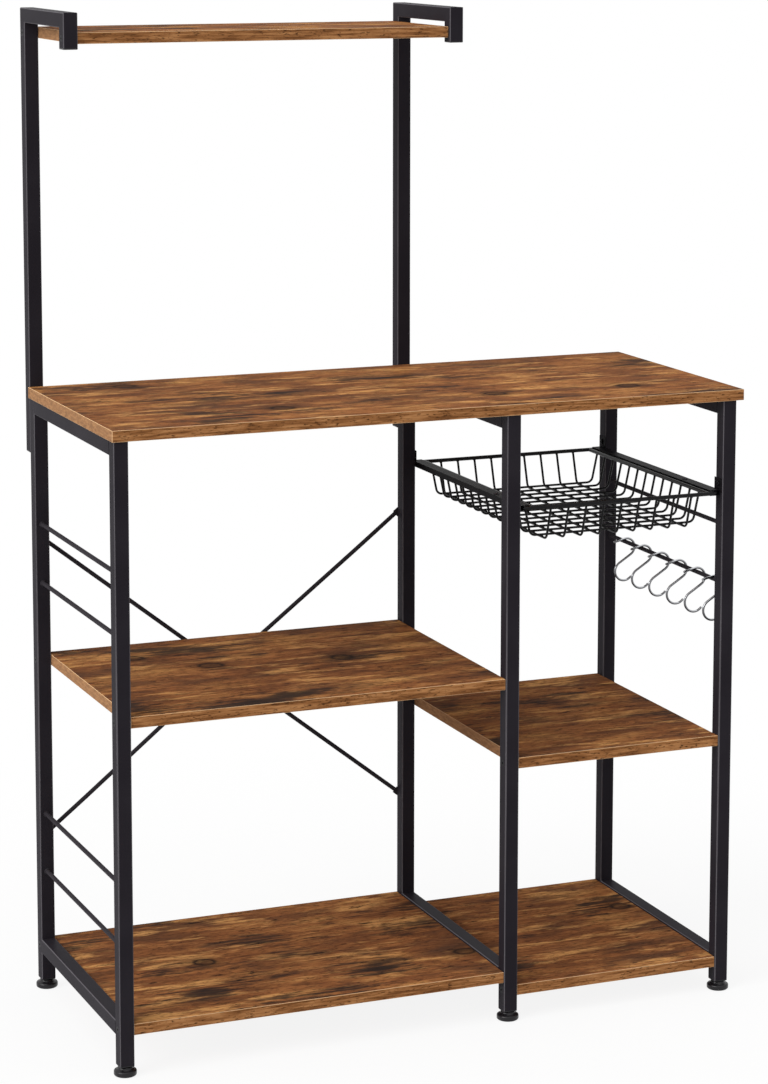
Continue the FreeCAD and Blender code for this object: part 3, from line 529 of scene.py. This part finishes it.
bodyNodes = frame["record"]["behaviour"]["bodies"]
grownNodes = [name for name in nodeSlots if nodeSlots[name] in ("coated_wire", "hook_chrome")]
for body, names in bodyNodes.items():
    for name in names:
        if nodeSlots[name] != "rustic_board" and name not in grownNodes:
            soften(name, body)
print("steel and plastic softened")


def newTree(name, sockets):
    tree = bpy.data.node_groups.new(name, "GeometryNodeTree")
    tree.interface.new_socket("Geometry", in_out="INPUT", socket_type="NodeSocketGeometry")
    for label, kind in sockets.items():
        tree.interface.new_socket(label, in_out="INPUT", socket_type="NodeSocket" + kind)
    tree.interface.new_socket("Finish", in_out="INPUT", socket_type="NodeSocketMaterial")
    tree.interface.new_socket("Geometry", in_out="OUTPUT", socket_type="NodeSocketGeometry")
    return tree, tree.nodes.new("NodeGroupInput").outputs


def sweep(tree, given, curve, radius, scale=None):
    # a smooth round bar along a curve, thinner where the scale is under 1
    section = addNode(
        tree,
        "GeometryNodeCurvePrimitiveCircle",
        links={"Resolution": given["Sides"], "Radius": radius},
    )
    along = {"Curve": curve, "Profile Curve": section.outputs[0]}
    if scale:
        along["Scale"] = scale
    bar = addNode(tree, "GeometryNodeCurveToMesh", {"Fill Caps": True}, along)
    smooth = addNode(tree, "GeometryNodeSetShadeSmooth", links={"Geometry": bar.outputs[0]})
    return smooth.outputs[0]


def closeTree(tree, given, geometry):
    real = addNode(tree, "GeometryNodeRealizeInstances", links={0: geometry})
    finished = addNode(
        tree,
        "GeometryNodeSetMaterial",
        links={"Geometry": real.outputs[0], "Material": given["Finish"]},
    )
    addNode(tree, "NodeGroupOutput", links={0: finished.outputs[0]})


def grow(name, tree, pointsMm, edges, amounts):
    mesh = bpy.data.meshes.new(name)
    mesh.from_pydata([Vector(point) * mm for point in pointsMm], edges, [])
    piece = bpy.data.objects.new(name, mesh)
    scene.collection.objects.link(piece)
    growth = piece.modifiers.new("Growth", "NODES")
    growth.node_group = tree
    for item in tree.interface.items_tree:
        if item.in_out == "INPUT" and item.name in amounts:
            growth[item.identifier] = amounts[item.name]
    graph = bpy.context.evaluated_depsgraph_get()
    made = bpy.data.meshes.new_from_object(piece.evaluated_get(graph), depsgraph=graph)
    piece.modifiers.remove(growth)
    piece.data = made
    made.name = name
    print("  grown:", name, len(made.polygons), "faces")
    return piece


def wireRow():
    # one wire bent along the base line, then repeated at equal steps
    sizes = {"Diameter": "Float", "Bend": "Float", "Sides": "Int", "Count": "Int", "Step": "Vector"}
    tree, given = newTree("WireRow", sizes)
    path = addNode(tree, "GeometryNodeMeshToCurve", links={0: given["Geometry"]})
    bent = addNode(
        tree,
        "GeometryNodeFilletCurve",
        {"mode": "POLY", "Count": 8, "Limit Radius": True},
        {"Curve": path.outputs[0], "Radius": given["Bend"]},
    )
    half = addNode(
        tree, "ShaderNodeMath", {"operation": "MULTIPLY", 1: 0.5}, {0: given["Diameter"]}
    )
    wire = sweep(tree, given, bent.outputs[0], half.outputs[0])
    spots = addNode(
        tree, "GeometryNodeMeshLine", links={"Count": given["Count"], "Offset": given["Step"]}
    )
    copies = addNode(
        tree, "GeometryNodeInstanceOnPoints", links={"Points": spots.outputs[0], "Instance": wire}
    )
    closeTree(tree, given, copies.outputs[0])
    return tree


def lumpsOnPoints():
    # a flattened ball on every point: a resistance weld where wires cross, or a pressed stop
    tree, given = newTree("Lumps", {"Radius": "Float", "Squash": "Vector"})
    lump = addNode(
        tree, "GeometryNodeMeshUVSphere", {"Segments": 8, "Rings": 5}, {"Radius": given["Radius"]}
    )
    smooth = addNode(tree, "GeometryNodeSetShadeSmooth", links={"Geometry": lump.outputs[0]})
    placed = {"Points": given["Geometry"], "Instance": smooth.outputs[0], "Scale": given["Squash"]}
    copies = addNode(tree, "GeometryNodeInstanceOnPoints", links=placed)
    closeTree(tree, given, copies.outputs[0])
    return tree


# basket: heavy rim and side wires over a welded mesh in two layers, walls leaning out a little
basket = {
    "rimWireMm": 5.4,
    "rimBendMm": 8,
    "meshWireMm": 3.2,
    "meshBendMm": 9,
    "pitchMm": 26.4,
    "halfDepthMm": 186,
    "floorHalfMm": (123, 172),
    "sideHalfMm": 132,
    "crossCount": 13,
    "longCount": 9,
    "rimSides": 18,
    "meshSides": 12,
    "sideEndMm": 1,
    "meshSinkMm": 0.8,
    "weldMm": 1.75,
    "weldSquash": (1.1, 1.1, 0.9),
    "rimWeldMm": 2.5,
    "rimWeldSquash": (1, 1, 0.8),
    "rimWeldRiseMm": 0.6,
    "cornerWeldMm": 2.6,
}


def makeBasket(look):
    finish = slotMaterials["coated_wire"]
    row, lumps = wireRow(), lumpsOnPoints()
    low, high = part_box("basket_rim_wire")
    x, y, rimZ = (low + high) / 2 / mm
    rimHalf, meshHalf = look["rimWireMm"] / 2, look["meshWireMm"] / 2
    halfWide = (high.x - low.x) / 2 / mm - rimHalf
    half, side = look["halfDepthMm"], look["sideHalfMm"]
    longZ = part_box("basket_long_wires")[0].z / mm + meshHalf
    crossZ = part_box("basket_cross_wires")[0].z / mm + meshHalf
    meshTop = rimZ - look["meshSinkMm"]  # mesh wires end inside the heavy wires they are welded to
    step = look["pitchMm"]
    firstX = x - step * (look["longCount"] - 1) / 2
    firstY = y - step * (look["crossCount"] - 1) / 2
    floorWide, floorDeep = look["floorHalfMm"]
    bentWire = [(0, 1), (1, 2), (2, 3)]

    rimAmounts = {
        "Diameter": look["rimWireMm"] * mm,
        "Bend": look["rimBendMm"] * mm,
        "Sides": look["rimSides"],
        "Count": 1,
        "Step": (0, 0, 0),
        "Finish": finish,
    }
    corners = [(-halfWide, -half), (halfWide, -half), (halfWide, half), (-halfWide, half)]
    rim = grow(
        "basketRim",
        row,
        [(x + a, y + b, rimZ) for a, b in corners],
        bentWire + [(3, 0)],
        rimAmounts,
    )
    seat(rim, "basket", ["basket_rim_wire"])

    reach = half - look["sideEndMm"]
    sides = grow(
        "basketSideWires",
        row,
        [(x - side, y - reach, rimZ), (x - side, y + reach, rimZ)],
        [(0, 1)],
        {**rimAmounts, "Bend": 0.0, "Count": 2, "Step": (2 * side * mm, 0, 0)},
    )
    seat(sides, "basket", ["basket_side_wires"])

    meshAmounts = {
        "Diameter": look["meshWireMm"] * mm,
        "Bend": look["meshBendMm"] * mm,
        "Sides": look["meshSides"],
        "Finish": finish,
    }
    path = [(-side, meshTop), (-floorWide, crossZ), (floorWide, crossZ), (side, meshTop)]
    cross = grow(
        "basketCrossWires",
        row,
        [(x + a, firstY, z) for a, z in path],
        bentWire,
        {**meshAmounts, "Count": look["crossCount"], "Step": (0, step * mm, 0)},
    )
    seat(cross, "basket", ["basket_cross_wires"])
    path = [(-half, meshTop), (-floorDeep, longZ), (floorDeep, longZ), (half, meshTop)]
    lengthwise = grow(
        "basketLongWires",
        row,
        [(firstX, y + a, z) for a, z in path],
        bentWire,
        {**meshAmounts, "Count": look["longCount"], "Step": (step * mm, 0, 0)},
    )
    seat(lengthwise, "basket", ["basket_long_wires"])

    acrossX = [firstX + step * number for number in range(look["longCount"])]
    acrossY = [firstY + step * number for number in range(look["crossCount"])]
    floorWelds = grow(
        "basketFloorWelds",
        lumps,
        [(a, b, (longZ + crossZ) / 2) for a in acrossX for b in acrossY],
        [],
        {"Radius": look["weldMm"] * mm, "Squash": look["weldSquash"], "Finish": finish},
    )
    seat(floorWelds, "basket")
    under = rimZ - rimHalf + look["rimWeldRiseMm"]
    cornerY = half - look["cornerWeldMm"]
    joins = [(x + way * side, b, under) for way in (-1, 1) for b in acrossY]
    joins += [(a, y + way * half, under) for way in (-1, 1) for a in acrossX]
    joins += [(x + a * side, y + b * cornerY, rimZ) for a in (-1, 1) for b in (-1, 1)]
    rimWelds = grow(
        "basketRimWelds",
        lumps,
        joins,
        [],
        {"Radius": look["rimWeldMm"] * mm, "Squash": look["rimWeldSquash"], "Finish": finish},
    )
    seat(rimWelds, "basket")


makeBasket(basket)
print("basket made")


# S-hooks: one wire with a wide upper bow that ends in a straight tail, and a lower bow
hooks = {
    "count": 6,
    "wireMm": 3.3,
    "highCentreMm": (1.5, -8.214),
    "highBendMm": 13.1,
    "lowCentreMm": (-2.1, -43),
    "lowBendMm": 14.5,
    "tailMm": 18.6,
    "tailSlope": 13,
    "tipSlope": 35,
    "arcStep": 6,
    "tipTurns": (0, 25, 50, 70, 90),
    "tipLeast": 0.12,
    "sides": 16,
}


def hookPath(look):
    def heading(degrees):
        return Vector((math.cos(math.radians(degrees)), math.sin(math.radians(degrees))))

    def bow(centre, radius, start, end):
        steps = round(abs(end - start) / look["arcStep"])
        turns = [start + (end - start) * i / steps for i in range(steps + 1)]
        return [centre + heading(turn) * radius for turn in turns]

    high, low = Vector(look["highCentreMm"]), Vector(look["lowCentreMm"])
    highBend, lowBend = look["highBendMm"], look["lowBendMm"]
    between = low - high
    crossing = math.asin((highBend + lowBend) / between.length)
    leave = math.degrees(math.atan2(between.y, between.x) - crossing) + 90
    half = look["wireMm"] / 2
    # the round tips need points ever closer to the ends
    inward = [half * (1 - math.cos(math.radians(turn))) for turn in look["tipTurns"]]
    tailEnd = 90 + look["tailSlope"]
    tailStart = high + heading(tailEnd) * highBend
    tail = [tailStart + heading(tailEnd + 90) * (look["tailMm"] - depth) for depth in inward]
    upper = bow(high, highBend, tailEnd, leave)
    tip = 360 - look["tipSlope"]
    lower = bow(low, lowBend, leave + 180, tip - math.degrees(half / lowBend))
    lastTurns = [tip - math.degrees(depth / lowBend) for depth in reversed(inward[:-1])]
    return tail + upper + lower + [low + heading(turn) * lowBend for turn in lastTurns]


def hookWire(look):
    # the section follows the base line and closes in a half round at both ends
    tree, given = newTree("HookWire", {"Diameter": "Float", "Sides": "Int"})
    path = addNode(tree, "GeometryNodeMeshToCurve", links={0: given["Geometry"]})
    half = addNode(
        tree, "ShaderNodeMath", {"operation": "MULTIPLY", 1: 0.5}, {0: given["Diameter"]}
    ).outputs[0]
    along = addNode(tree, "GeometryNodeSplineParameter").outputs["Length"]
    whole = addNode(tree, "GeometryNodeSplineLength").outputs["Length"]
    left = addNode(tree, "ShaderNodeMath", {"operation": "SUBTRACT"}, {0: whole, 1: along})
    near = addNode(tree, "ShaderNodeMath", {"operation": "MINIMUM"}, {0: along, 1: left.outputs[0]})
    share = addNode(
        tree,
        "ShaderNodeMath",
        {"operation": "DIVIDE", "use_clamp": True},
        {0: near.outputs[0], 1: half},
    )
    short = addNode(
        tree, "ShaderNodeMath", {"operation": "SUBTRACT", 0: 1.0}, {1: share.outputs[0]}
    ).outputs[0]
    square = addNode(tree, "ShaderNodeMath", {"operation": "MULTIPLY"}, {0: short, 1: short})
    rest = addNode(
        tree, "ShaderNodeMath", {"operation": "SUBTRACT", 0: 1.0}, {1: square.outputs[0]}
    )
    dome = addNode(tree, "ShaderNodeMath", {"operation": "SQRT"}, {0: rest.outputs[0]})
    size = addNode(
        tree,
        "ShaderNodeMath",
        {"operation": "MAXIMUM", 1: look["tipLeast"]},
        {0: dome.outputs[0]},
    )
    wire = sweep(tree, given, path.outputs[0], half, size.outputs[0])
    closeTree(tree, given, wire)
    return tree


def makeHooks(look):
    tree, path = hookWire(look), hookPath(look)
    edges = [(i, i + 1) for i in range(len(path) - 1)]
    low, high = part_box("hook_rod")
    rodX, rodZ = (low.x + high.x) / 2 / mm, (low.z + high.z) / 2 / mm
    for number in range(1, look["count"] + 1):
        near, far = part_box(f"s_hook_{number}")
        y = (near.y + far.y) / 2 / mm
        hook = grow(
            f"hangingHook_{number}",
            tree,
            [(rodX + point.x, y, rodZ + point.y) for point in path],
            edges,
            {
                "Diameter": look["wireMm"] * mm,
                "Sides": look["sides"],
                "Finish": slotMaterials["hook_chrome"],
            },
        )
        seat(hook, f"hook_{number}", [f"s_hook_{number}"])


makeHooks(hooks)
print("hooks made")


# welds of the frames: a bead round each rod end, and a run under each rail where it meets a post
welds = {
    "sides": 8,
    "ringMm": 3.1,
    "beadMm": 1.3,
    "runMm": 15,
    "runBeadMm": 1.1,
    "wobble": 0.25,
    "seed": 7,
}


def weldRings():
    tree, given = newTree("WeldRings", {"Ring": "Float", "Bead": "Float", "Sides": "Int"})
    ring = addNode(
        tree, "GeometryNodeCurvePrimitiveCircle", {"Resolution": 20}, {"Radius": given["Ring"]}
    )
    upright = addNode(
        tree,
        "GeometryNodeTransform",
        {"Rotation": (math.pi / 2, 0, 0)},
        {"Geometry": ring.outputs[0]},
    )
    bead = sweep(tree, given, upright.outputs[0], given["Bead"])
    copies = addNode(
        tree, "GeometryNodeInstanceOnPoints", links={"Points": given["Geometry"], "Instance": bead}
    )
    closeTree(tree, given, copies.outputs[0])
    return tree


def weldRuns():
    # the base mesh is short lines; the bead swells and shrinks along each as a hand-laid weld does
    sizes = {"Bead": "Float", "Sides": "Int", "Wobble": "Float", "Seed": "Int"}
    tree, given = newTree("WeldRuns", sizes)
    path = addNode(tree, "GeometryNodeMeshToCurve", links={0: given["Geometry"]})
    points = addNode(tree, "GeometryNodeResampleCurve", {"Count": 9}, {"Curve": path.outputs[0]})
    least = addNode(
        tree, "ShaderNodeMath", {"operation": "SUBTRACT", 0: 1.0}, {1: given["Wobble"]}
    )
    size = addNode(
        tree,
        "FunctionNodeRandomValue",
        {"data_type": "FLOAT"},
        {2: least.outputs[0], "Seed": given["Seed"]},
    )
    bead = sweep(tree, given, points.outputs[0], given["Bead"], size.outputs[1])
    closeTree(tree, given, bead)
    return tree


def makeWelds(look):
    rodEnds = []
    for name in nodeSlots:
        if "side_rod" in name or name == "hook_rod":
            low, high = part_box(name)
            middle = (low + high) / 2 / mm
            rodEnds += [(middle.x, low.y / mm, middle.z), (middle.x, high.y / mm, middle.z)]
    rings = grow(
        "rodWelds",
        weldRings(),
        rodEnds,
        [],
        {
            "Ring": look["ringMm"] * mm,
            "Bead": look["beadMm"] * mm,
            "Sides": look["sides"],
            "Finish": coatedRod,
        },
    )
    seat(rings, "rack")

    ends, edges = [], []
    for name in nodeSlots:
        if name.endswith(("top_rail", "bottom_rail")):
            low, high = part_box(name)
            middle = (low.x + high.x) / 2 / mm
            for y in (low.y / mm, high.y / mm):
                edges.append((len(ends), len(ends) + 1))
                ends += [(middle + way * look["runMm"] / 2, y, low.z / mm) for way in (-1, 1)]
    runs = grow(
        "railWelds",
        weldRuns(),
        ends,
        edges,
        {
            "Bead": look["runBeadMm"] * mm,
            "Sides": look["sides"],
            "Wobble": look["wobble"],
            "Seed": look["seed"],
            "Finish": coatedRod,
        },
    )
    seat(runs, "rack")


makeWelds(welds)

# a stop is pressed up into the top of each basket rail, to hold the basket when it is pulled
railStops = {"yMm": -102, "zMm": 711.5, "halfMm": (4.5, 5.5, 1.2)}


def makeRailStops(look):
    spots = []
    for name in ("left_basket_rail", "right_basket_rail"):
        low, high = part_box(name)
        spots.append(((low.x + high.x) / 2 / mm, look["yMm"], look["zMm"]))
    squash = [size * mm for size in look["halfMm"]]
    # the stops take the tube coat, whose painted bend highlight lays a pale ring round each dome
    stops = grow(
        "railStops",
        lumpsOnPoints(),
        spots,
        [],
        {"Radius": 1.0, "Squash": squash, "Finish": coatedTube},
    )
    seat(stops, "rack")


makeRailStops(railStops)
print("welds and rail stops made")

studio = {
    "floorSize": 30.0,
    "floorDrop": 0.0005,
    "floorColour": "#f0f0f0",
    "floorRoughness": 0.9,
    "shadowShare": 0.12,
    "shadowNear": 0.7,
    "shadowFar": 1.3,
    "worldStrength": 0.5,
    "suns": {
        "sideSun": {"towards": (-0.84, -0.22, 0.50), "strength": 2.35, "angle": 0.7},
        "topSun": {"towards": (-0.10, -0.20, 0.97), "strength": 0.65, "angle": 1.0},
    },
    "sunDistance": 4,
}


def mirrorRays(tree):
    # the kinds of ray that reach an eye: straight, and by way of a mirror or a clear piece
    path = addNode(tree, "ShaderNodeLightPath").outputs
    mirrored = addNode(
        tree,
        "ShaderNodeMath",
        {"operation": "MAXIMUM"},
        {0: path["Is Glossy Ray"], 1: path["Is Transmission Ray"]},
    )
    return path["Is Camera Ray"], mirrored.outputs[0]


def studioFloor(look):
    # white paper sweep: white to camera and reflections, with a faint shadow close to the feet
    material, tree, shader = newMaterial("WhitePaper")
    shader.inputs["Base Color"].default_value = linear(look["floorColour"])
    shader.inputs["Roughness"].default_value = look["floorRoughness"]
    glow = addNode(tree, "ShaderNodeEmission", {"Color": (1, 1, 1, 1), "Strength": 1.0})
    straight, mirrored = mirrorRays(tree)
    coords = addNode(tree, "ShaderNodeTexCoord").outputs["Object"]
    away = addNode(tree, "ShaderNodeVectorMath", {"operation": "LENGTH"}, {0: coords})
    share = addNode(
        tree,
        "ShaderNodeMapRange",
        {
            "From Min": look["shadowNear"],
            "From Max": look["shadowFar"],
            "To Min": 1 - look["shadowShare"],
            "To Max": 1.0,
        },
        {"Value": away.outputs["Value"]},
    )
    seen = addNode(
        tree, "ShaderNodeMath", {"operation": "MULTIPLY"}, {0: share.outputs[0], 1: straight}
    )
    amount = addNode(
        tree, "ShaderNodeMath", {"operation": "MAXIMUM"}, {0: seen.outputs[0], 1: mirrored}
    )
    paper = addNode(
        tree,
        "ShaderNodeMixShader",
        links={0: amount.outputs[0], 1: shader.outputs[0], 2: glow.outputs[0]},
    )
    output = next(node for node in tree.nodes if node.type == "OUTPUT_MATERIAL")
    tree.links.new(paper.outputs[0], output.inputs[0])
    half = look["floorSize"] / 2
    mesh = bpy.data.meshes.new("floor")
    corners = [(-half, -half), (half, -half), (half, half), (-half, half)]
    mesh.from_pydata([(x, y, -look["floorDrop"]) for x, y in corners], [], [(0, 1, 2, 3)])
    mesh.materials.append(material)
    floor = bpy.data.objects.new("floor", mesh)
    scene.collection.objects.link(floor)


def whiteWorld(look):
    # white to the camera and to reflections, softer as a light
    world = bpy.data.worlds.new("Studio")
    scene.world = world
    world.use_nodes = True
    tree = world.node_tree
    tree.nodes.clear()
    straight, mirrored = mirrorRays(tree)
    seen = addNode(tree, "ShaderNodeMath", {"operation": "MAXIMUM"}, {0: mirrored, 1: straight})
    soft, white = [
        addNode(tree, "ShaderNodeBackground", {"Strength": strength, "Color": (1, 1, 1, 1)})
        for strength in (look["worldStrength"], 1.0)
    ]
    pick = addNode(
        tree,
        "ShaderNodeMixShader",
        links={0: seen.outputs[0], 1: soft.outputs[0], 2: white.outputs[0]},
    )
    addNode(tree, "ShaderNodeOutputWorld", links={0: pick.outputs[0]})


def softSuns(look):
    for name, sun in look["suns"].items():
        lamp = bpy.data.lights.new(name, "SUN")
        lamp.energy = sun["strength"]
        lamp.angle = sun["angle"]
        holder = bpy.data.objects.new(name, lamp)
        holder.rotation_euler = Vector(sun["towards"]).to_track_quat("Z", "Y").to_euler()
        holder.location = Vector(sun["towards"]) * look["sunDistance"]
        scene.collection.objects.link(holder)


studioFloor(studio)
whiteWorld(studio)
softSuns(studio)

view = {
    "eyeMm": (-1612.06, -3938.12, 1521.44),
    "yaw": 0.3891,
    "pitch": -0.1399,
    "roll": 0.0009,
    "focalPx": 3149.67,
    "centreRowPx": 335,
    "heightPx": 1084,
    "sensor": 36,
    "clip": (0.1, 60),
}


def addCamera(look):
    height = look["heightPx"]  # the sensor runs along the taller side
    lens = bpy.data.cameras.new("camera")
    lens.sensor_width = look["sensor"]
    lens.lens = look["focalPx"] * lens.sensor_width / height
    lens.shift_y = (look["centreRowPx"] - height / 2) / height
    lens.clip_start, lens.clip_end = look["clip"]
    camera = bpy.data.objects.new("camera", lens)
    turn = (
        Matrix.Rotation(-look["yaw"], 4, "Z")
        @ Matrix.Rotation(math.pi / 2 + look["pitch"], 4, "X")
        @ Matrix.Rotation(look["roll"], 4, "Z")
    )
    camera.location = Vector(look["eyeMm"]) * mm
    camera.rotation_euler = turn.to_euler()
    scene.collection.objects.link(camera)
    scene.camera = camera


addCamera(view)
scene.view_settings.view_transform = "Standard"
print("studio and camera ready")
